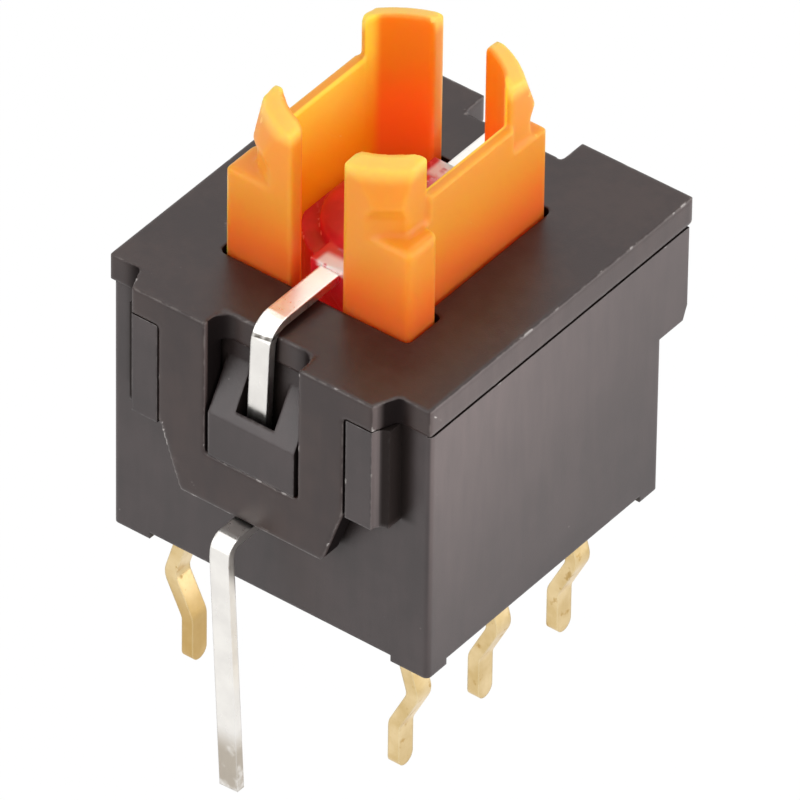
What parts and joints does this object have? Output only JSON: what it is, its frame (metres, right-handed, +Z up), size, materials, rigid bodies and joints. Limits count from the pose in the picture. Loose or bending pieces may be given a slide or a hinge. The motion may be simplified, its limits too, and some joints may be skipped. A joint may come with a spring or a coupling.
{
  "type": "pushbutton switch",
  "caption": "Illuminated push switch for a circuit board: black housing, orange sprung plunger that takes a cap, red lamp, gilt kinked soldering pins.",
  "frame": {"origin": "middle of the housing on the board surface, under the corner feet", "axes": "+X to the right along the latch face, -Y out of the latch face, +Z up along the plunger"},
  "size_m": [0.0078, 0.0102, 0.0143],
  "materials": {
    "black_housing": "fine moulded grain",
    "black_cover": "satin moulded",
    "orange_plunger": "slightly translucent orange moulding",
    "spring_wire": "drawn wire",
    "contact_bronze": "rolled bronze strip",
    "red_lens": "clear deep red resin",
    "chip_die": "chip under resin",
    "tinned_lead": "bright tin plate",
    "gilt_terminal": "gilt strip"
  },
  "bodies": {
    "switch_body": {"housing": "black_housing", "cover": "black_cover", "return_spring": "spring_wire", "led_lens": "red_lens", "led_chip": "chip_die", "led_lead_front": "tinned_lead", "led_lead_rear": "tinned_lead", "terminal_left_front": "gilt_terminal", "terminal_left_middle": "gilt_terminal", "terminal_left_rear": "gilt_terminal", "terminal_right_front": "gilt_terminal", "terminal_right_middle": "gilt_terminal", "terminal_right_rear": "gilt_terminal"},
    "plunger_group": {"plunger": "orange_plunger", "contact_clip_left": "contact_bronze", "contact_clip_right": "contact_bronze"}
  },
  "joints": [
    {"name": "plunger_press", "type": "slide", "parent": "switch_body", "child": "plunger_group", "axis": [0, 0, -1], "range_m": [0, 0.0015], "stiffness_N_per_m": 600, "springref_m": -0.0015, "deforming": ["return_spring"]}
  ]
}
